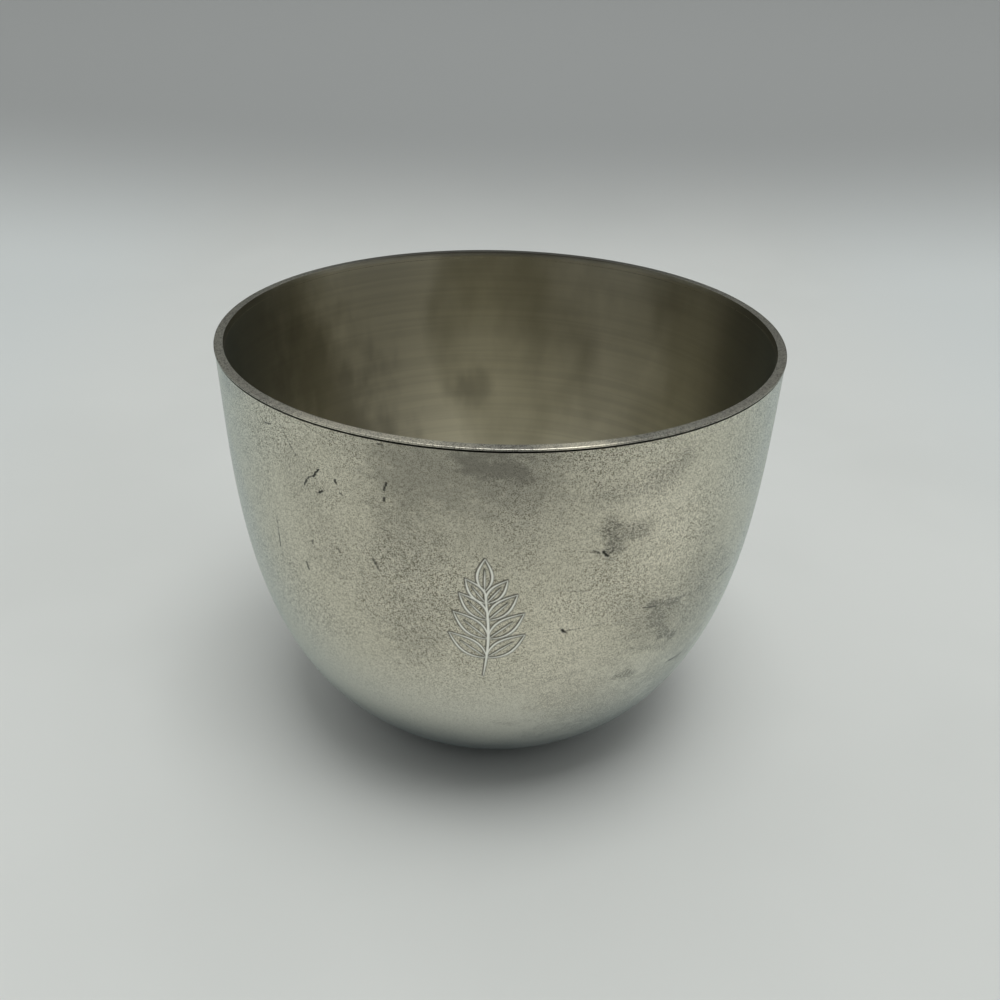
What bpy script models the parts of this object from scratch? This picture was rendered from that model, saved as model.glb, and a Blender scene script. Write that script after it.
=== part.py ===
"""Round-bottomed pewter tumbler cup, turned about the Z axis.

A spun shell carries a narrow flat rim ring. The ring sits on a bevelled seat at the top of
the wall, and a thin line of solder lies in the seam between the two. Sizes are in metres,
Z is up, and the origin is the middle of the flat base.
"""

from math import asin, cos, pi, radians, sin, tan

import bmesh
import bpy

# Overall sizes
CUP_HEIGHT = 0.0655
RIM_DIAMETER = 0.0826
BASE_DIAMETER = 0.0270

# The shell: a full round bowl below a straight, slightly flared band of wall
WALL_THICKNESS = 0.0012
FLOOR_THICKNESS = 0.0014
STRAIGHT_BAND = 0.0073
WALL_FLARE = radians(1.6)
# Power of the bowl's curve: 2 is an ellipse, and a higher power has a squarer shoulder
BOWL_FULLNESS = 2.72

# The rim ring, and the bevelled seat that centres it on the wall
RIM_OVERHANG = 0.0001
RIM_EDGE_HEIGHT = 0.00025
RIM_EDGE_ROUND = 0.00012
SEAT_BEVEL = radians(25)
SEAM_HEIGHT = 0.00025
SOLDER_CLEARANCE = 0.00005
# How far the solder stops short of the outside; on the inside it is wiped flush with the wall
SOLDER_RECESS = 0.0002
# The most of the edge's height that its rounding may take
EASE_SHARE = 0.9

# Facets: steps round the axis, points along each bowl curve and along each rounded corner
TURN_STEPS = 64
BOWL_POINTS = 18
CORNER_POINTS = 3
SHARP_ANGLE = radians(30)
MERGE_DISTANCE = 0.00001

# Places worked out from the sizes above
RIM_RADIUS = RIM_DIAMETER / 2
WALL_TOP_RADIUS = RIM_RADIUS - RIM_OVERHANG
BORE_RADIUS = WALL_TOP_RADIUS - WALL_THICKNESS
FLARE_SLOPE = tan(WALL_FLARE)


def seat_level(radius, below=0.0):
    """Height of the ring's bevelled underside at a radius, or of a parallel cone below it."""
    edge_bottom = CUP_HEIGHT - RIM_EDGE_HEIGHT
    return edge_bottom - (RIM_RADIUS - radius) * tan(SEAT_BEVEL) - below


WALL_TOP = seat_level(WALL_TOP_RADIUS, SEAM_HEIGHT)
BOWL_TOP = WALL_TOP - STRAIGHT_BAND
BOWL_RADIUS = WALL_TOP_RADIUS - FLARE_SLOPE * STRAIGHT_BAND


def bowl_depth():
    """Depth of the full curve below BOWL_TOP, chosen so that it meets the floor at the base's edge."""
    share = (BASE_DIAMETER / 2 + FLARE_SLOPE * BOWL_TOP) / BOWL_RADIUS
    return BOWL_TOP / (1 - share**BOWL_FULLNESS) ** (1 / BOWL_FULLNESS)


def bowl_curve(radius, depth, drop):
    """Points (r, z) from the top of the bowl down to where the curve has fallen by drop.

    The curve is a superellipse leaned outwards with the wall's flare, so that it runs into
    the straight band without a corner.
    """
    power = 2 / BOWL_FULLNESS
    last = asin((drop / depth) ** (1 / power))
    points = []
    for step in range(BOWL_POINTS + 1):
        turn = last * step / BOWL_POINTS
        fall = depth * sin(turn) ** power
        points.append((radius * cos(turn) ** power - FLARE_SLOPE * fall, BOWL_TOP - fall))
    return points


def rounded_corner(corner_r, corner_z, size, start):
    """A quarter turn clockwise round a corner of the ring, from the angle start."""
    points = []
    for step in range(CORNER_POINTS + 1):
        angle = start - pi / 2 * step / CORNER_POINTS
        points.append((corner_r + size * cos(angle), corner_z + size * sin(angle)))
    return points


def shell_profile():
    """From the middle of the inside floor, up the inside, over the seat and down the outside."""
    depth = bowl_depth()
    outside = bowl_curve(BOWL_RADIUS, depth, BOWL_TOP)
    inside = bowl_curve(
        BOWL_RADIUS - WALL_THICKNESS, depth - FLOOR_THICKNESS, BOWL_TOP - FLOOR_THICKNESS
    )
    seat = [
        (BORE_RADIUS, seat_level(BORE_RADIUS, SEAM_HEIGHT)),
        (WALL_TOP_RADIUS, WALL_TOP),
    ]
    return [(0.0, FLOOR_THICKNESS)] + inside[::-1] + seat + outside + [(0.0, 0.0)]


def ring_profile():
    """Over the ring's flat top with its eased edges, down the edge and back along the bevel."""
    ease = min(RIM_EDGE_ROUND, EASE_SHARE * RIM_EDGE_HEIGHT)
    level = CUP_HEIGHT - ease
    inner_corner = rounded_corner(BORE_RADIUS + ease, level, ease, pi)
    outer_corner = rounded_corner(RIM_RADIUS - ease, level, ease, pi / 2)
    underside = [(RIM_RADIUS, seat_level(RIM_RADIUS)), (BORE_RADIUS, seat_level(BORE_RADIUS))]
    return inner_corner + outer_corner + underside


def solder_profile():
    """A thin conical ring that lies between the two bevels, flush inside and set back outside."""
    inner = BORE_RADIUS
    outer = WALL_TOP_RADIUS - SOLDER_RECESS
    top = SOLDER_CLEARANCE
    bottom = SEAM_HEIGHT - SOLDER_CLEARANCE
    return [
        (inner, seat_level(inner, top)),
        (outer, seat_level(outer, top)),
        (outer, seat_level(outer, bottom)),
        (inner, seat_level(inner, bottom)),
    ]


def metal(name, colour, roughness, metallic):
    """A plain Principled material."""
    material = bpy.data.materials.new(name)
    material.use_nodes = True
    shader = material.node_tree.nodes["Principled BSDF"]
    shader.inputs["Base Color"].default_value = (*colour, 1.0)
    shader.inputs["Roughness"].default_value = roughness
    shader.inputs["Metallic"].default_value = metallic
    return material


def turned(name, profile, closed, material, collection, axis):
    """A solid of revolution: the profile's points joined in order and turned by a Screw modifier."""
    mesh = bpy.data.meshes.new(name)
    drawing = bmesh.new()
    corners = [drawing.verts.new((radius, 0.0, height)) for radius, height in profile]
    for first, second in zip(corners, corners[1:]):
        drawing.edges.new((first, second))
    if closed:
        drawing.edges.new((corners[-1], corners[0]))
    drawing.to_mesh(mesh)
    drawing.free()
    piece = bpy.data.objects.new(name, mesh)
    collection.objects.link(piece)
    piece.parent = axis
    screw = piece.modifiers.new("Turn", "SCREW")
    screw.axis = "Z"
    screw.angle = 2 * pi
    screw.steps = TURN_STEPS
    screw.render_steps = TURN_STEPS
    screw.use_merge_vertices = True
    screw.merge_threshold = MERGE_DISTANCE
    bpy.context.view_layer.update()
    spun = piece.evaluated_get(bpy.context.evaluated_depsgraph_get())
    piece.data = bpy.data.meshes.new_from_object(spun)
    piece.data.name = name
    piece.modifiers.clear()
    bpy.data.meshes.remove(mesh)
    piece.data.shade_smooth()
    piece.data.set_sharp_from_angle(angle=SHARP_ANGLE)
    piece.data.materials.append(material)
    return piece


def main():
    for leftover in list(bpy.data.objects):
        bpy.data.objects.remove(leftover)
    cup = bpy.data.collections.new("Round-bottomed tumbler cup")
    bpy.context.scene.collection.children.link(cup)
    axis = bpy.data.objects.new("cup_axis", None)
    cup.objects.link(axis)
    worn = metal("Worn pewter", (0.36, 0.35, 0.32), 0.42, 1.0)
    rubbed = metal("Rubbed pewter", (0.40, 0.39, 0.36), 0.36, 1.0)
    solder = metal("Tarnished solder", (0.06, 0.06, 0.05), 0.65, 0.8)
    turned("cup_body", shell_profile(), False, worn, cup, axis)
    turned("rim_ring", ring_profile(), True, rubbed, cup, axis)
    turned("rim_solder", solder_profile(), True, solder, cup, axis)


main()
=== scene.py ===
# %% [markdown]
# # A worn pewter tumbler
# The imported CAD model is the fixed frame: it says how tall and how wide the cup is, and where
# each of its three pieces sits. This lesson dresses that frame. The CAD solids are coarse, with
# flat facets, so each one is replaced by a finer surface of the same shape, worked out with
# numpy, and each finish is a small network of shader nodes.

# %% Load the frame and keep its box
from math import radians

import bpy
import numpy as np
from mathutils import Matrix, Vector


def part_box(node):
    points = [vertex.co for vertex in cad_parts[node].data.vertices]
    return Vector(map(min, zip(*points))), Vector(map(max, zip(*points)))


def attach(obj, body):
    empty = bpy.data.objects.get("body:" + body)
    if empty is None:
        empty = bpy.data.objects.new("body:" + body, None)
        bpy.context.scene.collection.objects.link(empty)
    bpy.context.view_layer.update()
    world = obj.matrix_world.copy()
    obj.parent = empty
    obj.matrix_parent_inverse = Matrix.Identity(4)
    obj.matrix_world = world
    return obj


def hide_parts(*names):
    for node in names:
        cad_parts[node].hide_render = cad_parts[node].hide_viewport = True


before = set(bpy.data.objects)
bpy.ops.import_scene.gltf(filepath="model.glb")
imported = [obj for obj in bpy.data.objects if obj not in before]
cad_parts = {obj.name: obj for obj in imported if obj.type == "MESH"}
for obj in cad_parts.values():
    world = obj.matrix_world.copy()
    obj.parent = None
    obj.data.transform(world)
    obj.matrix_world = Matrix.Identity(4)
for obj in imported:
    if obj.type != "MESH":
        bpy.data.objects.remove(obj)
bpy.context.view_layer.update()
for node_name in sorted(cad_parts):
    low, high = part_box(node_name)
    print(node_name, "spans", [round(1000 * (b - a), 2) for a, b in zip(low, high)], "mm")

# %% [markdown]
# ## The sizes that the frame doesn't say
# The boxes of the three nodes give the heights and radii. What is left is the way the wall
# curves: a straight band that leans out a little at the top, and below it a superellipse, which
# is an ellipse with a squarer shoulder. Its power and the base's width are the same values that
# the CAD model was drawn with.

# %% Main sizes in metres
MM = 0.001
BASE_RADIUS = 13.5 * MM
WALL_THICKNESS = 1.2 * MM
FLOOR_THICKNESS = 1.4 * MM
STRAIGHT_BAND = 7.3 * MM
FLARE_SLOPE = np.tan(radians(1.6))
SEAT_SLOPE = np.tan(radians(25.0))
BOWL_FULLNESS = 2.72

wall_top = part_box("cup_body")[1].z
wall_top_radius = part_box("cup_body")[1].x
rim_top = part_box("rim_ring")[1].z
rim_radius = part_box("rim_ring")[1].x
bore_radius = wall_top_radius - WALL_THICKNESS
bowl_top = wall_top - STRAIGHT_BAND
bowl_radius = wall_top_radius - FLARE_SLOPE * STRAIGHT_BAND
base_share = (BASE_RADIUS + FLARE_SLOPE * bowl_top) / bowl_radius
bowl_depth = bowl_top / (1 - base_share**BOWL_FULLNESS) ** (1 / BOWL_FULLNESS)
print("bowl radius", round(bowl_radius / MM, 2), "mm, full depth", round(bowl_depth / MM, 2), "mm")

# %% [markdown]
# ## A profile to turn
# The real cup was spun or turned, so one curve carried round the axis gives the whole shell. The
# curve runs from the middle of the floor up the inside, over the bevelled seat under the rim,
# down the outside and in to the middle of the base. Points spread evenly along the curve's own
# length behave better than points spread by angle, so the curve is first drawn very finely and
# then read off at chosen distances.

# %% The two wall curves
FINE_POINTS = 4000
LINE_STEP = 0.05 * MM
LEAST_ROOM = 1e-9


def wall_curve(radius, depth, drop):
    """Columns (r, z) from the top of the bowl down to where it has fallen by drop.

    fall = depth * sin(t)^(2/n) and r = radius * cos(t)^(2/n) - slope * fall, with n the fullness:
    a superellipse that leans with the wall's flare.
    """
    last = np.arcsin((drop / depth) ** (BOWL_FULLNESS / 2))
    turn = np.linspace(0.0, last, FINE_POINTS)
    fall = depth * np.sin(turn) ** (2 / BOWL_FULLNESS)
    reach = radius * np.cos(turn) ** (2 / BOWL_FULLNESS) - FLARE_SLOPE * fall
    return np.column_stack([reach, bowl_top - fall])


def between(first, last):
    """Points on the straight line from first to last, about a line step apart."""
    count = int(np.hypot(*np.subtract(last, first)) / LINE_STEP) + 2
    return np.linspace(first, last, count)


def joined(start, bowl, end):
    """A straight line from start to the bowl's curve, that curve, and a straight line on to end."""
    return np.vstack([between(start, bowl[0]), bowl[1:], between(bowl[-1], end)[1:]])


def along(curve):
    """Distance along a curve to each of its points."""
    return np.append(0.0, np.cumsum(np.hypot(*np.diff(curve, axis=0).T)))


def eased(curve, reach):
    """Round off corners: each point becomes the mean of the curve within reach on both sides.

    The mean over a stretch is the area under it, end less start of a running sum, over its length.
    """
    length = along(curve)
    even = np.linspace(0.0, length[-1], FINE_POINTS)
    strips = [(column[1:] + column[:-1]) / 2 * np.diff(length) for column in curve.T]
    areas = [np.append(0.0, np.cumsum(strip)) for strip in strips]
    start, end = np.maximum(even - reach, 0.0), np.minimum(even + reach, length[-1])
    room = np.maximum(np.minimum(even - start, end - even), LEAST_ROOM)
    before, after = (
        np.column_stack([np.interp(at, length, area) for area in areas])
        for at in (even - room, even + room)
    )
    mean = (after - before) / (2 * room)[:, None]
    mean[0], mean[-1] = curve[0], curve[-1]
    return mean


print("curves are drawn with", FINE_POINTS, "points")

# %% The outside and the inside
BASE_EASE = 0.5 * MM

outside_bowl = wall_curve(bowl_radius, bowl_depth, bowl_top)
inside_bowl = wall_curve(
    bowl_radius - WALL_THICKNESS, bowl_depth - FLOOR_THICKNESS, bowl_top - FLOOR_THICKNESS
)
bore_top = wall_top - WALL_THICKNESS * SEAT_SLOPE
outside_curve = eased(joined((wall_top_radius, wall_top), outside_bowl, (0.0, 0.0)), BASE_EASE)
inside_curve = joined((0.0, FLOOR_THICKNESS), inside_bowl[::-1], (bore_radius, bore_top))
outside_length = along(outside_curve)
inside_length = along(inside_curve)
for side, length in (("outside", outside_length), ("inside", inside_length)):
    print("the", side, "is", round(length[-1] / MM, 1), "mm long")

# %% [markdown]
# ## Places on the cup
# Marks and ornament are placed by an angle from the front, positive to the right, and a height.
# Small helpers turn such a pair into a point on the outside or on the inside, and find how far
# along the profile a height lies. The first of them also turns whole profiles into grids.

# %% From angle and height to a point


def turned(reach, angle, height):
    """Points (r * sin a, -r * cos a, z) at a radius r, an angle a from the front and a height z."""
    parts = np.broadcast_arrays(reach * np.sin(angle), -reach * np.cos(angle), height)
    return np.stack(parts, axis=-1)


def down_the_outside(height):
    """Distance along the outside curve at which it passes a height."""
    return np.interp(-height, -outside_curve[:, 1], outside_length)


def on_outside(angle, height):
    """The point on the outside at an angle in degrees and a height in millimetres."""
    reach = np.interp(-height * MM, -outside_curve[:, 1], outside_curve[:, 0])
    return tuple(turned(reach, radians(angle), height * MM))


def on_inside(angle, height):
    """The point on the inside wall at an angle in degrees and a height in millimetres."""
    reach = np.interp(height * MM, inside_curve[:, 1], inside_curve[:, 0])
    return tuple(turned(reach, radians(angle), height * MM))


print("front of the wall at 40 mm:", [round(v / MM, 2) for v in on_outside(0.0, 40.0)])

# %% [markdown]
# ## An engraved sprig
# Cups like this often carry a small engraved ornament on the front. Here it is a plain sprig of
# leaves, drawn the way an engraver cuts it: each leaf is two strokes that swell in the middle
# and thin out at the ends, with a fine rib between them. It could be a bump texture, but the cut
# catches light along its walls, so it is a real groove in the surface.

# %% Strokes of the sprig, in millimetres across and up from its middle
STROKE_POINTS = 25
SPRIG_ANGLE = -1.8
SPRIG_HEIGHT = 40.6
STEM_FOOT, STEM_TOP, STEM_SWAY = -9.8, 5.2, 0.6
LEAF_PAIRS = ((-6.3, 6.4, 50.0), (-2.9, 6.2, 46.0), (0.3, 5.5, 41.0), (3.0, 4.5, 35.0))
TIP_LEAF = (4.9, 4.9, 0.0)
LEAF_SWELL, LEAF_BELLY = 0.19, 0.85
RIB_SHARE = 0.68
OUTLINE_WIDTH, RIB_WIDTH, STEM_WIDTH = 0.36, 0.24, 0.42

share = np.linspace(0.0, 1.0, STROKE_POINTS)


def stem_point(height):
    """The stem sways to one side as half a sine wave between its foot and its top."""
    climb = (height - STEM_FOOT) / (STEM_TOP - STEM_FOOT)
    return np.array([STEM_SWAY * np.sin(np.pi * climb), height])


def leaf_strokes(start, length, lean, side):
    """Two outlines and a rib.

    A point on an outline is start + t * axis + swell * sin(pi * t^belly) * across.
    """
    axis = np.array([side * np.sin(radians(lean)), np.cos(radians(lean))])
    across = np.array([-axis[1], axis[0]])
    bow = LEAF_SWELL * length * np.sin(np.pi * share**LEAF_BELLY)
    line = start + length * share[:, None] * axis
    outlines = [(line + sign * bow[:, None] * across, OUTLINE_WIDTH) for sign in (-1.0, 1.0)]
    return outlines + [(start + RIB_SHARE * length * share[:, None] * axis, RIB_WIDTH)]


strokes = [(stem_point(np.linspace(STEM_FOOT, STEM_TOP, STROKE_POINTS)).T, STEM_WIDTH)]
for climb, length, lean in LEAF_PAIRS:
    for side in (-1.0, 1.0):
        strokes += leaf_strokes(stem_point(climb), length, lean, side)
strokes += leaf_strokes(stem_point(TIP_LEAF[0]), TIP_LEAF[1], TIP_LEAF[2], 1.0)
print("the sprig has", len(strokes), "strokes")

# %% [markdown]
# ## How deep the graver went
# For a point of the surface, the nearest stroke decides: inside the stroke's width the cut is a
# shallow round groove, and just outside it the metal stands up in a slight burr. All points of
# the patch are measured against one stroke at a time, as whole arrays.

# %% Distance to the strokes, and the groove they cut
GROOVE_DEPTH = 0.085
BURR_HEIGHT = 0.012
BURR_REACH = 0.07
LINE_THIN = 0.45
FAR_OFF = 9.0


def cut_distance(across, up):
    """Millimetres from a point to the nearest stroke's edge, negative inside the cut.

    The half width is width / 2 * (thin + (1 - thin) * sin(pi * t)), so strokes thin out at their ends.
    """
    nearest = np.full(across.shape, FAR_OFF)
    for line, width in strokes:
        for (x0, y0), (x1, y1), t in zip(line, line[1:], share):
            dx, dy = x1 - x0, y1 - y0
            part = np.clip(((across - x0) * dx + (up - y0) * dy) / (dx * dx + dy * dy), 0.0, 1.0)
            gap = np.hypot(across - x0 - part * dx, up - y0 - part * dy)
            swell = LINE_THIN + (1 - LINE_THIN) * np.sin(np.pi * (t + part / (STROKE_POINTS - 1)))
            nearest = np.minimum(nearest, gap - width / 2 * swell)
    return nearest


def groove(edge):
    """Height of the surface in millimetres: a rounded cut inside the edge, a small burr outside it.

    The cut goes with the square root of the way in, and the burr is exp(-((edge - reach) / reach)^2).
    """
    way_in = np.clip(-edge / (OUTLINE_WIDTH / 2), 0.0, 1.0)
    burr = np.exp(-(((edge - BURR_REACH) / BURR_REACH) ** 2))
    return BURR_HEIGHT * burr - GROOVE_DEPTH * np.sqrt(way_in)


stem_depth = cut_distance(*stem_point(np.zeros(1)))[0]
print("the middle of the stem lies", round(stem_depth, 2), "mm from an edge")

# %% [markdown]
# ## Rows and columns
# The groove needs cells of about a tenth of a millimetre, but only in the patch that it fills.
# So the grid is graded: dense there, moderate round the front and wide at the back. That keeps
# the whole shell below two hundred thousand triangles, where an even grid would need millions.

# %% A graded grid


def graded(stops):
    """Positions from the first stop to the last; a stop is (position, spacing up to the next one)."""
    pieces = []
    for (start, step), (end, _) in zip(stops, stops[1:]):
        count = max(1, int(round((end - start) / step)))
        pieces.append(np.linspace(start, end, count, endpoint=False))
    return np.concatenate(pieces)


PATCH_CELL = 0.094 * MM
PATCH_HALF_WIDTH = 6.1 * MM
PATCH_HALF_HEIGHT = 10.3 * MM
FRONT_SPAN, FRONT_STEP, BACK_STEP = 80.0, 2.0, 2.2
LIP_STEP, WALL_STEP, INSIDE_STEP = 0.1 * MM, 1.4 * MM, 1.9 * MM
FOOT_STEP, BASE_STEP = 0.2 * MM, 2.0 * MM
LIP_BAND, INSIDE_BAND = 0.5 * MM, 0.4 * MM
FOOT_HEIGHT, ABOVE_FOOT, BELOW_FOOT = 0.4 * MM, 1.0 * MM, 1.5 * MM

sprig_along = down_the_outside(SPRIG_HEIGHT * MM)
sprig_reach = np.interp(sprig_along, outside_length, outside_curve[:, 0])
half_patch = np.degrees(PATCH_HALF_WIDTH / sprig_reach)
column_stops = [
    (-180.0, BACK_STEP),
    (-FRONT_SPAN, FRONT_STEP),
    (SPRIG_ANGLE - half_patch, np.degrees(PATCH_CELL / sprig_reach)),
    (SPRIG_ANGLE + half_patch, FRONT_STEP),
    (FRONT_SPAN, BACK_STEP),
    (180.0, None),
]
base_edge = down_the_outside(FOOT_HEIGHT)
outside_stops = [
    (0.0, LIP_STEP),
    (LIP_BAND, WALL_STEP),
    (sprig_along - PATCH_HALF_HEIGHT, PATCH_CELL),
    (sprig_along + PATCH_HALF_HEIGHT, WALL_STEP),
    (base_edge - ABOVE_FOOT, FOOT_STEP),
    (base_edge + BELOW_FOOT, BASE_STEP),
    (outside_length[-1], None),
]
inside_end = inside_length[-1]
inside_stops = [(INSIDE_BAND, INSIDE_STEP), (inside_end - INSIDE_BAND, LIP_STEP), (inside_end, None)]
columns = np.radians(graded(column_stops))
outside_rows = graded(outside_stops)
inside_rows = graded(inside_stops)
print(len(columns), "columns,", len(outside_rows), "rows outside and", len(inside_rows), "inside")

# %% [markdown]
# ## From a grid to a mesh
# Every piece of this cup is a grid whose columns run round the axis. The shell's rows end in a
# single point at the middle of the floor and of the base; a ring's rows close on themselves.

# %% Mesh helpers
SHARP_CORNER = radians(52.0)


def ring_faces(rows, count, closed):
    """Corner numbers of the quads between neighbouring rows; columns always close in a circle."""
    row = np.arange(rows if closed else rows - 1)[:, None]
    column = np.arange(count)[None, :]
    here, following, beside = row * count, (row + 1) % rows * count, (column + 1) % count
    corners = [here + column, here + beside, following + beside, following + column]
    return np.stack(np.broadcast_arrays(*corners), axis=-1).reshape(-1, 4)


def fan_faces(centre, ring, outward):
    """Triangles from a centre point to a ring of corners, wound the other way if not outward."""
    beside = np.roll(ring, -1)
    order = (beside, ring) if outward else (ring, beside)
    return np.column_stack([np.full(len(ring), centre), *order])


def signed_volume(points, triangles):
    """Sum of the tetrahedra from the origin to each triangle: positive if faces point outwards."""
    a, b, c = (points[triangles[:, k]] for k in range(3))
    return np.sum(a * np.cross(b, c)) / 6


def make_piece(name, points, quads, triangles, layers):
    """A smooth mesh object, faces turned outwards, with a float attribute for each of the layers."""
    halves = np.vstack([quads[:, [0, 1, 2]], quads[:, [0, 2, 3]], triangles])
    if signed_volume(points, halves) < 0:
        quads, triangles = quads[:, ::-1], triangles[:, ::-1]
    mesh = bpy.data.meshes.new(name)
    mesh.from_pydata(points.tolist(), [], quads.tolist() + triangles.tolist())
    mesh.shade_smooth()
    mesh.set_sharp_from_angle(angle=SHARP_CORNER)
    for label, values in layers.items():
        attribute = mesh.attributes.new(label, "FLOAT", "POINT")
        attribute.data.foreach_set("value", np.ravel(values).astype(np.float32))
    piece = bpy.data.objects.new(name, mesh)
    bpy.context.scene.collection.objects.link(piece)
    volume = abs(signed_volume(points, halves)) / MM**3
    print(name, "has", len(halves), "triangles and", round(volume), "mm3")
    return piece


# %% [markdown]
# ## The shell
# The profile is carried round the axis. A hand-finished wall is never quite true, so slow waves
# a few hundredths of a millimetre high run over it; they are too small to measure by eye, but
# they bend the reflections. The groove is pressed in along the wall's own normal.

# %% Waves of a hand-finished wall
WAVE_HEIGHT, WAVE_GAIN = 0.018 * MM, 2.0
WAVE_TURNS = (3, 5, 8, 13)
WAVE_CLIMB, WAVE_LEAN = 9.0 * MM, 1.4
rng = np.random.default_rng(7)
wave_phases = rng.uniform(0.0, 2 * np.pi, (len(WAVE_TURNS), 2))


def waves(angle, height):
    """Sum of sines round the cup that drift with height; a wave of n turns goes with 1 / sqrt(n)."""
    total = 0.0
    for turns, (phase, drift) in zip(WAVE_TURNS, wave_phases):
        climb = np.sin(height / WAVE_CLIMB + drift)
        total = total + WAVE_GAIN / turns**0.5 * np.sin(turns * angle + phase + WAVE_LEAN * climb)
    return WAVE_HEIGHT * total


print("waves of", WAVE_TURNS, "turns")

# %% Rows of the shell
SEAT_ROWS = 3


def read_curve(curve, length, at):
    """Rows of radius, height and unit normal to the right of travel, at distances along a curve."""
    reach, height = (np.interp(at, length, c) for c in curve.T)
    dr, dz = (np.interp(at, length, np.gradient(c, length)) for c in curve.T)
    size = np.hypot(dr, dz)
    return np.array([reach, height, dz / size, -dr / size])


in_part = read_curve(inside_curve, inside_length, inside_rows)
out_part = read_curve(outside_curve, outside_length, outside_rows)
out_part[2:] *= -1
seat_part = np.zeros((4, SEAT_ROWS))
seat_ends = (bore_radius, bore_top), (wall_top_radius, wall_top)
seat_part[:2] = np.linspace(*seat_ends, SEAT_ROWS, endpoint=False).T
row_r, row_z, row_nr, row_nz = np.hstack([in_part, seat_part, out_part])
row_number = np.arange(len(row_r))
row_inside = row_number < len(inside_rows)
row_outside = row_number >= len(inside_rows) + SEAT_ROWS
print("the shell has", len(row_r), "rows")

# %% Waves and cut, as heights over the grid
WAVE_FADE, STILL_BASE = 6.0 * MM, 2.0 * MM
# Offset of the painted shadow that lies along the upper left side of each engraved line
SHADOW_SHIFT = (0.06, -0.10)

fade_top = np.clip((wall_top - row_z) / WAVE_FADE, 0.0, 1.0)
fade_base = np.clip((row_z - STILL_BASE) / WAVE_FADE, 0.0, 1.0)
wall_waves = waves(columns[None, :], row_z[:, None]) * (fade_top * fade_base)[:, None]

row_up = np.full(len(row_r), np.inf)
row_up[row_outside] = (sprig_along - outside_rows) / MM
patch_across = sprig_reach * (columns - radians(SPRIG_ANGLE)) / MM
cut_edge = np.full((len(row_r), len(columns)), FAR_OFF)
in_rows = np.abs(row_up) < PATCH_HALF_HEIGHT / MM
in_columns = np.abs(patch_across) < PATCH_HALF_WIDTH / MM
patch = np.ix_(in_rows, in_columns)
patch_grid = np.broadcast_arrays(patch_across[in_columns][None, :], row_up[in_rows][:, None])
cut_edge[patch] = cut_distance(*patch_grid)
# Distance to the strokes moved a little up and to the left: round it lies a painted shadow along each
# line's upper left side
shadow_edge = np.full(cut_edge.shape, FAR_OFF)
shadow_edge[patch] = cut_distance(patch_grid[0] + SHADOW_SHIFT[0], patch_grid[1] + SHADOW_SHIFT[1])
rise = wall_waves * row_outside[:, None] + groove(cut_edge) * MM
print("the surface moves from", round(rise.min() / MM, 3), "to", round(rise.max() / MM, 3), "mm")

# %% Build the shell
CUT_SOFT = 0.09
DIRT_AND_SHADOW_REACH, LOWER_DIRT = 0.09, 0.5

grid_r = row_r[:, None] + row_nr[:, None] * rise
grid_z = row_z[:, None] + row_nz[:, None] * rise
poles = [[0.0, 0.0, FLOOR_THICKNESS], [0.0, 0.0, 0.0]]
shell_points = np.vstack([turned(grid_r, columns, grid_z).reshape(-1, 3), poles])
rows, count = grid_r.shape
first_ring = np.arange(count)
last_ring = (rows - 1) * count + first_ring
shell_fans = np.vstack(
    [fan_faces(rows * count, first_ring, True), fan_faces(rows * count + 1, last_ring, False)]
)
# The first band, round the moved strokes, is painted shadow; the second is dirt along the cut's own
# edges
painted_shadow, lower_dirt = (np.exp(-((edge / DIRT_AND_SHADOW_REACH) ** 2)) for edge in (shadow_edge, cut_edge))
dirt_and_shadow = np.maximum(painted_shadow, LOWER_DIRT * lower_dirt)
shell_layers = {
    "inside": np.append(np.repeat(row_inside, count), [1.0, 0.0]),
    "cut": np.append(np.clip(-cut_edge / CUT_SOFT, 0.0, 1.0).ravel(), [0.0, 0.0]),
    "cut_dirt_and_shadow": np.append(dirt_and_shadow.ravel(), [0.0, 0.0]),
}
shell_quads = ring_faces(rows, count, False)
shell = make_piece("pewter_shell", shell_points, shell_quads, shell_fans, shell_layers)

# %% [markdown]
# ## The rim ring
# The narrow flat lip is a ring of its own. Its top is flat with eased corners and its underside
# is bevelled to match the seat. Use has nibbled the corners, so the ring's edges go in and out by
# about a hundredth of a millimetre.

# %% Section of the ring
INNER_ROUND, OUTER_ROUND = 0.02 * MM, 0.12 * MM
CORNER_POINTS, LIP_POINTS, UNDER_POINTS = 7, 8, 6
EDGE_HEIGHT = 0.25 * MM
INNER_LEAN = (bore_radius - inside_bowl[0, 0]) / (bore_top - bowl_top)


def corner(radius, size, start):
    """A quarter circle, level with the lip's top, that turns clockwise from the angle start."""
    turn = start - np.linspace(0.0, np.pi / 2, CORNER_POINTS)
    return np.column_stack([radius + size * np.cos(turn), rim_top - size + size * np.sin(turn)])


def bore_at(height):
    """Radius of the bore at a height: the straight line of the inside wall, carried on upwards."""
    return bore_radius + INNER_LEAN * (height - bore_top)


bore_end = bore_at(rim_top - INNER_ROUND)
inner_corner = corner(bore_end + INNER_ROUND, INNER_ROUND, np.pi)
outer_corner = corner(rim_radius - OUTER_ROUND, OUTER_ROUND, np.pi / 2)
lip_top = np.linspace(inner_corner[-1], outer_corner[0], LIP_POINTS)[1:-1]
rim_edge = (rim_radius, rim_top - EDGE_HEIGHT)
bore_bottom = rim_edge[1] - (rim_radius - bore_radius) * SEAT_SLOPE
underside = np.linspace(rim_edge, (bore_at(bore_bottom), bore_bottom), UNDER_POINTS)
ring_section = np.vstack([inner_corner, lip_top, outer_corner, underside])
print("the lip is", round((rim_radius - bore_end) / MM, 2), "mm wide")

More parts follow.
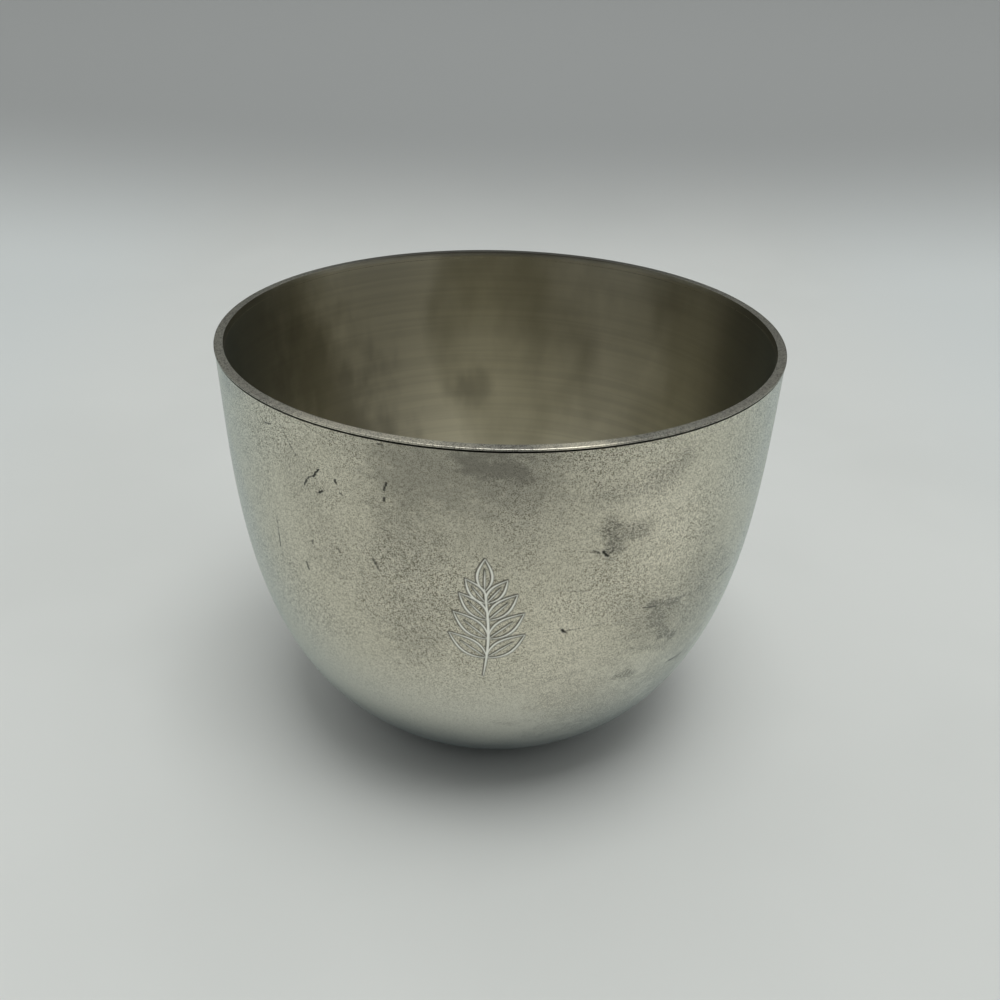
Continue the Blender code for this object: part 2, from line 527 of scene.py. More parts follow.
# %% Nibbled edges, and the ring
RIM_COLUMNS = 720
NIBBLE, NIBBLE_DROP, INNER_SHARE = 0.012 * MM, 0.15, 0.3
NIBBLE_TURNS, NIBBLE_FALL = (11, 23, 41, 67, 97, 151), 0.5
BORE_SHARE = 0.3
PHASE_SPAN = 6.28


def ripple(angles, turns, fall):
    """Sum of sines at random phases: a wave of n turns round the axis goes with 1 / n^fall."""
    phases = rng.uniform(0, PHASE_SPAN, len(turns))
    return sum(np.sin(n * angles + phase) / n**fall for n, phase in zip(turns, phases))


ring_angles = np.linspace(0.0, 2 * np.pi, RIM_COLUMNS, endpoint=False)
bumps = np.clip(ripple(ring_angles, NIBBLE_TURNS, NIBBLE_FALL), -1.0, 2.0)
outer_start = CORNER_POINTS + len(lip_top)
corner_share = np.zeros(len(ring_section))
corner_share[:CORNER_POINTS] = np.linspace(INNER_SHARE, 1.0, CORNER_POINTS)
corner_share[outer_start : outer_start + CORNER_POINTS] = 1.0
wear = np.abs(NIBBLE * bumps[None, :] * corner_share[:, None])
inward = np.sign((bore_radius + rim_radius) / 2 - ring_section[:, :1])
ring_r = ring_section[:, :1] + inward * wear
ring_z = ring_section[:, 1:] - NIBBLE_DROP * wear
ring_points = turned(ring_r, ring_angles, ring_z).reshape(-1, 3)
on_bore = ring_section[:, 0] < bore_end + BORE_SHARE * INNER_ROUND
on_corner = np.arange(len(ring_section)) < CORNER_POINTS
ring_layers = {
    "bore": np.repeat(on_bore.astype(float), RIM_COLUMNS),
    "corner": np.repeat(on_corner.astype(float), RIM_COLUMNS),
}
no_fans = np.zeros((0, 3), int)
ring_quads = ring_faces(len(ring_section), RIM_COLUMNS, True)
ring = make_piece("rim_lip", ring_points, ring_quads, no_fans, ring_layers)

# %% [markdown]
# ## The solder in the seam
# The dark line under the lip is the seam: tin solder that has gone nearly black. On the outside it
# stops short of the wall and its edge wanders in and out. On the inside it was wiped flush, so no
# line shows there: the bead thickens to fill the seam and takes the colour of the wall.

# %% Section of the solder
SEAM_HEIGHT = 0.25 * MM
SOLDER_HEIGHT = 0.15 * MM
WIPED_SHARE = 0.25
STATIONS = (0.0, 0.08, 0.16, WIPED_SHARE, 0.6, 1.0)
END_POINTS = 7
solder_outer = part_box("rim_solder")[1].x


def solder_section():
    """A strip along the seat's bevel with a half round at its outer end.

    At a share t of the way out the half height is half the seam's, easing to half the solder's at the
    wiped share. Gives the radii, the heights, and how far each point counts as wiped.
    """
    out = np.array(STATIONS)
    wiped = np.clip(1 - out / WIPED_SHARE, 0.0, 1.0)
    half = (SOLDER_HEIGHT + (SEAM_HEIGHT - SOLDER_HEIGHT) * wiped) / 2
    reach = bore_radius + out * (solder_outer - SOLDER_HEIGHT / 2 - bore_radius)
    turn = np.linspace(np.pi / 2, -np.pi / 2, END_POINTS)[1:-1]
    reach = np.concatenate([reach, reach[-1] + half[-1] * np.cos(turn), reach[::-1]])
    across = np.concatenate([half, half[-1] * np.sin(turn), -half[::-1]])
    height = rim_top - EDGE_HEIGHT - (rim_radius - reach) * SEAT_SLOPE - SEAM_HEIGHT / 2 + across
    wiped = np.concatenate([wiped, np.zeros(len(turn)), wiped[::-1]])
    return reach + wiped * (bore_at(height) - bore_radius), height, wiped


section_r, section_z, section_wiped = solder_section()
print("the solder's section has", len(section_r), "points")

# %% A wandering bead of solder
WANDER, WANDER_SET_BACK = 0.03 * MM, 1.2
WANDER_TURNS, WANDER_FALL = (7, 19, 37, 61), 0.4

wander = WANDER * (WANDER_SET_BACK + ripple(ring_angles, WANDER_TURNS, WANDER_FALL))
way_out = np.clip((section_r - bore_radius) / (solder_outer - bore_radius), 0.0, 1.0)
solder_r = section_r[:, None] - wander[None, :] * way_out[:, None] ** 3
solder_points = turned(solder_r, ring_angles, section_z[:, None]).reshape(-1, 3)
solder_quads = ring_faces(len(section_r), RIM_COLUMNS, True)
solder_layers = {"wiped": np.repeat(section_wiped, RIM_COLUMNS)}
solder = make_piece("solder_line", solder_points, solder_quads, no_fans, solder_layers)

# %% [markdown]
# ## Hand the pieces to the frame
# Each piece rides on the one body of this cup and stands for its CAD node, which is hidden.

# %% Ride and replace
for piece, node_name, slot_name in (
    (shell, "cup_body", "worn_pewter"),
    (ring, "rim_ring", "rubbed_pewter"),
    (solder, "rim_solder", "tarnished_solder"),
):
    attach(piece, "root")
    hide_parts(node_name)
print("three pieces ride on the root body")

# %% [markdown]
# ## Node helpers
# Shader networks are long to write out link by link. A few small helpers keep the cells below
# readable: they add a node and feed its inputs, do arithmetic, make a smooth step, a noise or a mix,
# and make a group, which is a network that several materials share.

# %% Helpers for nodes


def node(tree, kind, feeds, **settings):
    """Add a node, set its properties, and feed inputs by name or number: link sockets, set values."""
    made = tree.nodes.new("ShaderNode" + kind)
    for name, value in settings.items():
        setattr(made, name, value)
    for key, feed in feeds.items():
        if isinstance(feed, bpy.types.NodeSocket):
            tree.links.new(feed, made.inputs[key])
        else:
            made.inputs[key].default_value = feed
    return made


def axes(tree, place):
    """The x, y and z of a place."""
    return node(tree, "SeparateXYZ", {0: place}).outputs


def calc(tree, operation, first, second=0.0):
    """One step of arithmetic on two values."""
    return node(tree, "Math", {0: first, 1: second}, operation=operation).outputs[0]


def vector(tree, operation, first, second, gives="Vector"):
    """One step of arithmetic on two vectors, which gives a vector or a value."""
    return node(tree, "VectorMath", {0: first, 1: second}, operation=operation).outputs[gives]


def ramp(tree, value, start, end, low=0.0, high=1.0):
    """Smooth step: low up to start, high from end on."""
    feeds = {"Value": value, "From Min": start, "From Max": end, "To Min": low, "To Max": high}
    return node(tree, "MapRange", feeds, interpolation_type="SMOOTHSTEP", clamp=False).outputs[0]


def noise(tree, place, scale, detail=2.0, rough=0.5):
    """Blender's noise, about 0 to 1; scale is in waves per metre."""
    feeds = {"Vector": place, "Scale": scale, "Detail": detail, "Roughness": rough}
    return node(tree, "TexNoise", feeds).outputs["Fac"]


def tint(tree, factor, under, over):
    """Mix two colours by a factor."""
    return node(tree, "Mix", {0: factor, 6: under, 7: over}, data_type="RGBA").outputs[2]


def mixed(tree, factor, first, second):
    """Mix two values by a factor."""
    return node(tree, "Mix", {0: factor, 2: first, 3: second}, data_type="FLOAT").outputs[0]


print("node helpers ready")

# %% Helpers for groups


def new_group(name, inputs, outputs):
    """An empty shader group with named sockets of given kinds; gives the tree and its two ends."""
    tree = bpy.data.node_groups.new(name, "ShaderNodeTree")
    for way, sockets in (("INPUT", inputs), ("OUTPUT", outputs)):
        for label, kind in sockets.items():
            tree.interface.new_socket(label, in_out=way, socket_type="NodeSocket" + kind)
    return tree, tree.nodes.new("NodeGroupInput").outputs, tree.nodes.new("NodeGroupOutput").inputs


def use_group(tree, group, feeds):
    """Place a shared group in a material, or in another group, and feed its inputs."""
    return node(tree, "Group", feeds, node_tree=group).outputs


print("group helpers ready")

# %% [markdown]
# ## Grain of worn pewter
# Seen close, worn pewter has a fine sandy grain: the soft alloy is covered with tiny pits, and
# tarnish stays in them. In some patches the grain is stronger than in others, and it gathers in loose
# clusters. A photographed texture would blur close up and repeat, so four sizes of noise are mixed
# instead: dust, sand, clusters and patches.

# %% Shared group: grain
# Waves per metre, and the part of the mix
DUST, SAND, CLUSTERS = (12500.0, 0.44), (7800.0, 0.41), (2600.0, 0.15)
# A noise is waves per metre, detail and roughness; a step is where it starts and ends
PATCHES, PATCH_STEP = (70.0, 4.0, 0.6), (0.34, 0.66)
SPECK_STEP = (0.49, 0.58)

grain, grain_in, grain_out = new_group(
    "pewter_grain",
    {"Place": "Vector", "Least": "Float", "Most": "Float"},
    {"Speck": "Float", "Patch": "Float", "Sand": "Float"},
)
place = grain_in["Place"]
sandy = 0.0
for scale, part in (DUST, SAND, CLUSTERS):
    portion = calc(grain, "MULTIPLY", noise(grain, place, scale, 0.0), part)
    sandy = calc(grain, "ADD", portion, sandy)
patches = ramp(grain, noise(grain, place, *PATCHES), *PATCH_STEP)
strength = ramp(grain, patches, 0.0, 1.0, grain_in["Least"], grain_in["Most"])
specks = ramp(grain, sandy, *SPECK_STEP)
grain.links.new(calc(grain, "MULTIPLY", specks, strength), grain_out["Speck"])
grain.links.new(patches, grain_out["Patch"])
grain.links.new(sandy, grain_out["Sand"])
print("the grain has", len(grain.nodes), "nodes")

# %% [markdown]
# ## Turning lines
# A spun or turned wall keeps faint lines that run round the axis. They depend only on the distance
# from the axis and the height, so the noise reads those two and not the angle; a little of the
# place itself is mixed in, so that the lines come and go.

# %% Shared group: turning lines
LINE_DRIFT, LINE_DETAIL, LINE_ROUGH = 0.02, 3.0, 0.6

turning, turning_in, turning_out = new_group(
    "turning_lines", {"Place": "Vector", "Scale": "Float"}, {"Lines": "Float"}
)
split = axes(turning, turning_in["Place"])
flat = node(turning, "CombineXYZ", {0: split[0], 1: split[1]}).outputs[0]
from_axis = node(turning, "VectorMath", {0: flat}, operation="LENGTH").outputs["Value"]
drift = calc(turning, "MULTIPLY", split[0], LINE_DRIFT)
lined = node(turning, "CombineXYZ", {0: from_axis, 1: drift, 2: split[2]}).outputs[0]
lines = noise(turning, lined, turning_in["Scale"], LINE_DETAIL, LINE_ROUGH)
turning.links.new(lines, turning_out["Lines"])
print("the turning lines have", len(turning.nodes), "nodes")

# %% [markdown]
# ## Marks of use
# Stains, pits and scratches are one shape at three sizes: the space within some distance of a
# short line. A pit's line is very short, a scratch's is long and very thin, and a stain's is broad
# with a soft ragged edge. They could be painted on an image, but measured in space they need no
# unwrapping and stay sharp close up. One group measures the distance, and each mark uses it once.

# %% Shared group: a mark round a short line
LEAST_LENGTH = 1e-12

mark_sockets = dict.fromkeys(("Place", "Start", "End"), "Vector")
mark_sockets |= dict.fromkeys(("Width", "Softness", "Ragged"), "Float")
mark, mark_in, mark_out = new_group("mark_of_use", mark_sockets, {"Mask": "Float"})
offset = vector(mark, "SUBTRACT", mark_in["Place"], mark_in["Start"])
line = vector(mark, "SUBTRACT", mark_in["End"], mark_in["Start"])
run = vector(mark, "DOT_PRODUCT", offset, line, "Value")
full = vector(mark, "DOT_PRODUCT", line, line, "Value")
ratio = calc(mark, "DIVIDE", run, calc(mark, "MAXIMUM", full, LEAST_LENGTH))
part = node(mark, "Clamp", {"Value": ratio}).outputs[0]
foot = node(mark, "VectorMath", {0: line, "Scale": part}, operation="SCALE").outputs[0]
gap = vector(mark, "DISTANCE", offset, foot, "Value")
spread = calc(mark, "ADD", calc(mark, "DIVIDE", gap, mark_in["Width"]), mark_in["Ragged"])
near = calc(mark, "SUBTRACT", 1.0, mark_in["Softness"])
far = calc(mark, "ADD", 1.0, mark_in["Softness"])
mark.links.new(ramp(mark, spread, near, far, 1.0, 0.0), mark_out["Mask"])
print("a mark has", len(mark.nodes), "nodes")

# %% Helpers for marks
NOISE_SPAN = (0.25, 0.75)


def marked(tree, place, ragged, softness, marks):
    """Mask of the strongest of several marks; each is (start, end, width in metres, strength)."""
    total = 0.0
    for start, end, width, strength in marks:
        feeds = {"Place": place, "Ragged": ragged, "Softness": softness}
        feeds |= {"Start": start, "End": end, "Width": width}
        mask = use_group(tree, mark, feeds)["Mask"]
        total = calc(tree, "MAXIMUM", calc(tree, "MULTIPLY", mask, strength), total)
    return total


def unrest(tree, place, scale, detail, rough, reach):
    """Noise from about -reach to reach, which breaks up the edges of marks."""
    low, high = NOISE_SPAN
    feeds = {"Value": noise(tree, place, scale, detail, rough), "From Min": low, "From Max": high}
    feeds |= {"To Min": -reach, "To Max": reach}
    return node(tree, "MapRange", feeds, clamp=False).outputs[0]


def placed(marks, where):
    """Marks with both their places worked out by where, and their widths in metres."""
    return [(where(*a), where(*b), width * MM, strength) for a, b, width, strength in marks]


print("groups:", [g.name for g in bpy.data.node_groups])

# %% [markdown]
# ## The tone of the inside
# The inside is a shade browner than the outside and less worn. Faint lines from turning run round it
# and soft pale clouds lie on it; three of the clouds are placed as a painted reflection, pale bands
# where the inside catches light. A few smudges darken the far wall, one of them, on the left, as
# painted shade, and the left and right are painted darker as shade. The pale clouds are a little
# rougher too, which spreads the light that they send back. The rim's bore and the wiped solder share
# this tone, so the three pieces run into each other without a line.

# %% Colours and marks of the inside
PEWTER_INSIDE_PALE_AND_SHEEN = (0.97, 0.93, 0.78, 1.0)
PEWTER_CLOUDED = (0.62, 0.595, 0.485, 1.0)
# Painted shade for the left and right of the inside
INSIDE_SIDE_SHADE = (0.28, 0.272, 0.235, 1.0)
STAIN_AND_SHADE_DARK = (0.155, 0.147, 0.122, 1.0)
# Two places (angle, height in mm), a width in mm and a strength
# Placed pale clouds, a painted reflection: pale bands where the inside catches light
PAINTED_SHEEN_CLOUDS = (
    ((216.0, 68.0), (206.0, 32.0), 9.5, 1.35),
    ((194.0, 44.0), (186.0, 26.0), 8.0, 0.45),
    ((148.0, 66.0), (148.0, 28.0), 8.0, 0.9),
)
# The second smudge, on the left of the far wall, is painted shade; the others are smudges
SMUDGES_AND_SHADE = (
    ((188.5, 39.4), (188.5, 39.4), 2.9, 0.42),
    ((236.0, 52.0), (224.0, 34.0), 8.0, 0.48),
    ((177.0, 66.0), (166.0, 55.0), 8.0, 0.20),
)
print(len(PAINTED_SHEEN_CLOUDS), "pale clouds and", len(SMUDGES_AND_SHADE), "smudges")

# %% Shared group: the tone of the inside
UPRIGHT = (1.0, 1.0, 0.5)
CLOUDS, CLOUD_STEP = (110.0, 4.0, 0.55), (0.32, 0.68, 0.0, 0.32)
# An unrest is a noise and how far it reaches, in widths of the mark
BILLOWS, FINGERED = (90.0, 2.0, 0.5, 0.6), (240.0, 2.0, 0.5, 0.7)
CLOUD_EDGE, SOFT_EDGE = 0.9, 0.95
LINE_SCALE, LINE_STEP_IN = 900.0, (0.40, 0.65, 0.0, 0.10)
TO_SIDE = (0.006, 0.026, 1.0, 0.0)
INSIDE_ROUGH = (0.31, 0.41)

tone, tone_in, tone_out = new_group(
    "inside_tone", {"Place": "Vector"}, {"Colour": "Color", "Lines": "Float", "Rough": "Float"}
)
place = tone_in["Place"]
upright = vector(tone, "MULTIPLY", place, UPRIGHT)
clouds = ramp(tone, noise(tone, upright, *CLOUDS), *CLOUD_STEP)
billows = unrest(tone, upright, *BILLOWS)
# The placed pale clouds paint a reflection; the noise clouds added next are the metal's own tone
pale = marked(tone, place, billows, CLOUD_EDGE, placed(PAINTED_SHEEN_CLOUDS, on_inside))
pale = calc(tone, "ADD", pale, clouds)
colour = tint(tone, pale, PEWTER_CLOUDED, PEWTER_INSIDE_PALE_AND_SHEEN)
depth = calc(tone, "ABSOLUTE", axes(tone, place)[1])
# The left and right of the inside are painted darker as shade
colour = tint(tone, ramp(tone, depth, *TO_SIDE), colour, INSIDE_SIDE_SHADE)
lines_here = use_group(tone, turning, {"Place": place, "Scale": LINE_SCALE})["Lines"]
colour = tint(tone, ramp(tone, lines_here, *LINE_STEP_IN), colour, STAIN_AND_SHADE_DARK)
fingered = unrest(tone, upright, *FINGERED)
# Smudges, one of them painted shade
smudge_and_shade = marked(tone, place, fingered, SOFT_EDGE, placed(SMUDGES_AND_SHADE, on_inside))
tone.links.new(tint(tone, smudge_and_shade, colour, STAIN_AND_SHADE_DARK), tone_out["Colour"])
tone.links.new(lines_here, tone_out["Lines"])
tone.links.new(ramp(tone, pale, 0.0, 1.0, *INSIDE_ROUGH), tone_out["Rough"])
print("inside tone has", len(tone.nodes), "nodes")

# %% [markdown]
# ## Where this cup is marked
# Each mark runs between two places on the wall, given by angle and height, and has a width in
# millimetres and a strength. Smears are smooth grey films under the lip, partly real smears and
# partly painted shade, where the top of the front wall reflects the darker floor in front; stains are
# cloudy patches of dense grain, mostly on the right; polished patches are rubbed paler; pits are short
# dark nicks, mostly on the left; scratches are longer and thinner.

# %% Smears and painted shade, stains and polished patches
# Partly real smears and partly painted shade: the top of the front wall darkened as if it reflected a
# shaded floor
SMEARS_AND_SHADE = (
    ((-4.4, 63.2), (2.0, 63.0), 2.8, 0.72),
    ((2.0, 62.0), (3.4, 60.6), 0.8, 0.50),
    ((-15.0, 62.0), (3.0, 61.5), 5.0, 0.46),
    ((-62.0, 63.8), (-20.0, 63.8), 1.6, 0.22),
    ((-14.0, 54.0), (2.0, 54.0), 4.0, 0.12),
)
STAINS = (
    ((-17.0, 53.5), (-15.0, 36.0), 3.6, 0.36),
    ((45.0, 41.0), (46.0, 20.0), 5.5, 0.42),
    ((18.0, 24.0), (34.0, 17.0), 6.5, 0.40),
    ((20.1, 53.6), (21.2, 51.1), 1.4, 0.95),
    ((22.2, 52.4), (27.5, 53.0), 1.1, 0.75),
    ((27.6, 58.9), (33.4, 60.8), 1.6, 0.52),
    ((17.3, 58.5), (23.6, 58.2), 1.2, 0.38),
    ((31.5, 36.6), (46.0, 34.8), 3.8, 0.52),
    ((30.8, 39.6), (44.4, 38.8), 0.8, 1.0),
    ((33.0, 38.0), (36.7, 33.4), 1.4, 0.90),
    ((36.7, 33.2), (39.2, 32.2), 0.9, 1.00),
    ((25.3, 41.0), (31.5, 37.5), 1.6, 0.20),
    ((31.6, 31.9), (39.7, 30.1), 0.8, 0.50),
    ((42.6, 25.4), (47.0, 24.9), 0.6, 0.85),
    ((27.0, 27.6), (30.9, 26.9), 1.0, 0.75),
    ((43.1, 36.1), (46.5, 36.0), 1.2, 0.45),
    ((-36.6, 57.9), (-30.1, 47.0), 3.0, 0.22),
    ((-21.4, 50.3), (-20.9, 41.9), 2.8, 0.24),
    ((-9.7, 43.6), (-13.9, 36.3), 2.8, 0.22),
)
POLISHED = (
    ((11.0, 38.0), (15.0, 28.0), 5.0, 0.6),
    ((29.0, 57.5), (33.0, 49.0), 4.5, 0.9),
)
print(len(SMEARS_AND_SHADE), "smears,", len(STAINS), "stains and", len(POLISHED), "polished patches")

# %% Pits and scratches
PITS = (
    ((-32.2, 58.9), (-33.5, 57.7), 0.14, 1.0),
    ((-33.5, 57.7), (-34.7, 57.3), 0.10, 0.8),
    ((-34.8, 57.2), (-35.7, 56.1), 0.14, 0.9),
    ((-28.6, 58.2), (-28.6, 57.9), 0.17, 0.9),
    ((-32.7, 55.5), (-31.7, 56.0), 0.15, 1.0),
    ((-27.8, 56.6), (-27.4, 56.4), 0.13, 0.7),
    ((-18.6, 59.5), (-19.1, 58.5), 0.13, 0.9),
    ((-19.1, 57.4), (-19.2, 57.1), 0.17, 0.9),
    ((-35.2, 47.9), (-35.3, 47.4), 0.14, 0.8),
    ((-29.3, 48.1), (-28.9, 47.8), 0.10, 0.7),
    ((-22.0, 48.1), (-21.5, 47.5), 0.17, 0.7),
    ((-21.5, 47.5), (-20.9, 46.6), 0.11, 0.6),
    ((-37.8, 43.7), (-37.5, 42.7), 0.14, 0.9),
    ((17.1, 50.9), (18.3, 50.4), 0.13, 0.8),
    ((19.0, 50.5), (19.9, 49.8), 0.18, 1.0),
    ((20.2, 50.2), (20.8, 50.4), 0.11, 0.9),
    ((12.7, 38.8), (13.3, 38.4), 0.17, 1.0),
    ((43.3, 25.3), (45.2, 25.2), 0.17, 0.8),
    ((-45.2, 62.4), (-43.4, 62.6), 0.11, 0.8),
    ((-19.9, 64.6), (-19.0, 64.5), 0.11, 0.7),
)
SCRATCHES = (
    ((-40.7, 63.1), (-38.9, 61.5), 0.06, 0.7),
    ((-39.0, 61.3), (-37.2, 59.8), 0.09, 0.8),
    ((-45.4, 48.2), (-45.4, 46.1), 0.07, 0.8),
    ((-45.4, 46.1), (-45.6, 43.8), 0.10, 0.9),
    ((51.2, 38.1), (56.5, 38.3), 0.09, 0.9),
    ((51.0, 38.9), (53.9, 39.0), 0.06, 0.7),
    ((12.8, 51.3), (17.7, 50.6), 0.06, 0.5),
    ((13.0, 45.2), (17.0, 44.8), 0.06, 0.5),
    ((13.3, 38.6), (21.8, 38.9), 0.07, 0.5),
    ((-34.4, 64.6), (-28.6, 63.4), 0.06, 0.45),
    ((-26.2, 61.0), (-20.4, 59.8), 0.06, 0.35),
    ((-20.8, 53.1), (-18.9, 52.8), 0.06, 0.5),
    ((-25.0, 46.6), (-24.3, 44.4), 0.06, 0.4),
    ((29.2, 39.8), (32.4, 39.3), 0.11, 0.7),
)
print(len(PITS), "pits and", len(SCRATCHES), "scratches")

# %% [markdown]
# ## Worn pewter
# The metal is a warm grey that shines softly. On the outside its grain, stains, pits and scratches
# darken it, and so do smears that are partly painted shade; in the engraved lines the clean metal
# shows paler, with dirt along the edges and a painted shadow along the upper left side of each line.
# Low on the bowl, where hands and cloths rub it most, the grain is fainter; there the metal is also
# painted cooler as a reflection of the shaded floor, and the foot is painted dark as shade. On the
# back, stains and a few pits are scattered by noise instead of placed one by one. All of it is one
# material: the colours, the painted shade among them, are laid over each other in order, which
# several materials side by side couldn't show.

# %% Start a metal
COOL_EDGE = (0.85, 0.94, 1.0, 1.0)
PLAIN_EDGE = (0.82, 0.825, 0.80, 1.0)


def start_metal(name, grazing):
    """A metallic Principled material tinted at grazing angles, its tree and its object coordinates."""
    material = bpy.data.materials.new(name)
    material.use_nodes = True
    tree = material.node_tree
    shader = tree.nodes["Principled BSDF"]
    shader.inputs["Metallic"].default_value = 1.0
    shader.inputs["Specular Tint"].default_value = grazing
    return material, tree, tree.nodes.new("ShaderNodeTexCoord").outputs["Object"]


def layer(tree, name):
    """A float attribute of the mesh."""
    return node(tree, "Attribute", {}, attribute_name=name).outputs["Fac"]


print("metals start from one shader")

# %% The shell's pewter: placed marks
BRUSHED = (1.0, 1.0, 1.8)
RAGGED, STREAKY = (260.0, 6.0, 0.72, 1.5), (420.0, 5.0, 0.75, 0.9)
CRUMBLY = (3000.0, 3.0, 0.6, 1.1)
STAIN_EDGE, NICK_EDGE = 0.8, 0.5

worn, tree, place = start_metal("worn_pewter", COOL_EDGE)
brushed = vector(tree, "MULTIPLY", place, BRUSHED)
ragged = unrest(tree, brushed, *RAGGED)
streaky = unrest(tree, brushed, *STREAKY)
crumbly = unrest(tree, place, *CRUMBLY)
polished = marked(tree, place, ragged, SOFT_EDGE, placed(POLISHED, on_outside))
# Smears, partly painted shade under the front of the lip
smears_and_shade = marked(tree, place, streaky, SOFT_EDGE, placed(SMEARS_AND_SHADE, on_outside))
stains = marked(tree, place, ragged, STAIN_EDGE, placed(STAINS, on_outside))
nicks = marked(tree, place, crumbly, NICK_EDGE, placed(PITS + SCRATCHES, on_outside))
print("worn pewter's marks take", len(tree.nodes), "nodes")

# %% The shell's pewter: grain, and marks behind
WALL_GRAIN = {"Least": 1.0, "Most": 0.66}
LOW_WALL = (0.016, 0.040, 0.30, 1.0)
SMEAR_AND_SHADE_COVER = 0.35
BACK_HALF = (-0.014, 0.006)
BACK_STAINS, BACK_STAIN_STEP = (55.0, 6.0, 0.68), (0.50, 0.66, 0.0, 0.60)
BACK_PITS, BACK_PIT_STEP = (800.0, 2.0, 0.6), (0.74, 0.79, 0.0, 0.8)
GRIT_STEP = (0.42, 0.52, 0.18, 1.0)

inside = layer(tree, "inside")
outside = calc(tree, "SUBTRACT", 1.0, inside)
split = axes(tree, place)
height = split[2]
grain_here = use_group(tree, grain, {"Place": place} | WALL_GRAIN)
covered = calc(tree, "MULTIPLY", smears_and_shade, SMEAR_AND_SHADE_COVER)
bare = calc(tree, "SUBTRACT", ramp(tree, height, *LOW_WALL), covered)
specks = calc(tree, "MULTIPLY", grain_here["Speck"], bare)
behind = ramp(tree, split[1], *BACK_HALF)
clouded = ramp(tree, noise(tree, brushed, *BACK_STAINS), *BACK_STAIN_STEP)
scattered = ramp(tree, noise(tree, brushed, *BACK_PITS), *BACK_PIT_STEP)
stains = calc(tree, "MAXIMUM", stains, calc(tree, "MULTIPLY", clouded, behind))
nicks = calc(tree, "MAXIMUM", nicks, calc(tree, "MULTIPLY", scattered, behind))
nicks = calc(tree, "MULTIPLY", nicks, outside)
gritty = ramp(tree, grain_here["Sand"], *GRIT_STEP)
stain_grain = calc(tree, "MULTIPLY", stains, gritty)
print("worn pewter's masks take", len(tree.nodes), "nodes")

# %% The shell's pewter: colour
PEWTER_CLEAN = (0.752, 0.716, 0.595, 1.0)
PEWTER_DULL = (0.722, 0.686, 0.56, 1.0)
PEWTER_LOW_REFLECTION = (0.732, 0.714, 0.617, 1.0)
FOOT_SHADE = (0.15, 0.162, 0.168, 1.0)
PEWTER_POLISHED = (0.86, 0.81, 0.67, 1.0)
PEWTER_CUT = (0.96, 0.95, 0.87, 1.0)
SPECK_DARK = (0.13, 0.112, 0.066, 1.0)
PIT_AND_SHADOW_DARK = (0.05, 0.048, 0.042, 1.0)
# Steps for the painted cool reflection low on the bowl and the painted shade on the foot
COOL_REFLECTION_STEP, FOOT_SHADE_STEP = (0.018, 0.036, 0.9, 0.0), (0.003, 0.023, 0.95, 0.0)
DIRT_AND_SHADOW_COVER = 0.95

tone_here = use_group(tree, tone, {"Place": place})
colour = tint(tree, grain_here["Patch"], PEWTER_CLEAN, PEWTER_DULL)
for mask, over in (
    # A painted cool reflection low on the bowl, as of the shaded floor
    (ramp(tree, height, *COOL_REFLECTION_STEP), PEWTER_LOW_REFLECTION),
    (polished, PEWTER_POLISHED),
    (specks, SPECK_DARK),
    (stain_grain, STAIN_AND_SHADE_DARK),
    # Smears, partly painted shade
    (smears_and_shade, STAIN_AND_SHADE_DARK),
    # Painted shade on the foot, darkest at the bottom
    (ramp(tree, height, *FOOT_SHADE_STEP), FOOT_SHADE),
    (nicks, PIT_AND_SHADOW_DARK),
    # Dirt along the engraved lines, and a painted shadow on their upper left side
    (calc(tree, "MULTIPLY", layer(tree, "cut_dirt_and_shadow"), DIRT_AND_SHADOW_COVER), PIT_AND_SHADOW_DARK),
    (layer(tree, "cut"), PEWTER_CUT),
    (inside, tone_here["Colour"]),
):
    colour = tint(tree, mask, colour, over)
print("worn pewter's colour takes it to", len(tree.nodes), "nodes")

# %% The shell's pewter: roughness and bumps
WALL_ROUGH, STAIN_ROUGH = (0.29, 0.34), 0.10
# The strength of a bump, and how far it stands up in metres
LINE_BUMP, GRAIN_BUMP = (0.15, 0.00006), (0.25, 0.00005)


def bump(tree, height, strength, distance, under=None):
    """A Bump node whose height stands up by distance; under is an earlier bump that it adds to."""
    feeds = {"Strength": strength, "Distance": distance, "Height": height}
    if under is not None:
        feeds["Normal"] = under
    return node(tree, "Bump", feeds).outputs[0]


def finish_metal(piece, material, feeds):
    """Feed the shader's inputs by name, and put the material on a piece."""
    tree = material.node_tree
    for name, socket in feeds.items():
        tree.links.new(socket, tree.nodes["Principled BSDF"].inputs[name])
    piece.data.materials.append(material)
    print(material.name, "has", len(tree.nodes), "nodes")


rough = ramp(tree, grain_here["Patch"], 0.0, 1.0, *WALL_ROUGH)
rough = calc(tree, "ADD", rough, calc(tree, "MULTIPLY", stain_grain, STAIN_ROUGH))
rough = mixed(tree, inside, rough, tone_here["Rough"])
raised = bump(tree, calc(tree, "MULTIPLY", tone_here["Lines"], inside), *LINE_BUMP)
raised = bump(tree, calc(tree, "MULTIPLY", grain_here["Sand"], outside), *GRAIN_BUMP, raised)
finish_metal(shell, worn, {"Base Color": colour, "Roughness": rough, "Normal": raised})

# %% [markdown]
# ## Rubbed pewter
# The lip is speckled all over. At the front, lips and cloths have rubbed it brighter, and the far
# side is painted darker as shade, most of all along its inner corner, which is painted dark there so
# that it shows no glint. Its bore has the tone of the inside. The grain is the wall's own group, read
# a little coarser, so that both look like one metal.

# %% The rim's pewter
RIM_DULL = (0.44, 0.427, 0.37, 1.0)
RIM_FAR_SHADE = (0.17, 0.165, 0.14, 1.0)
RIM_BRIGHT = (0.93, 0.875, 0.71, 1.0)
RIM_SPECK_AND_SHADE = (0.11, 0.105, 0.09, 1.0)
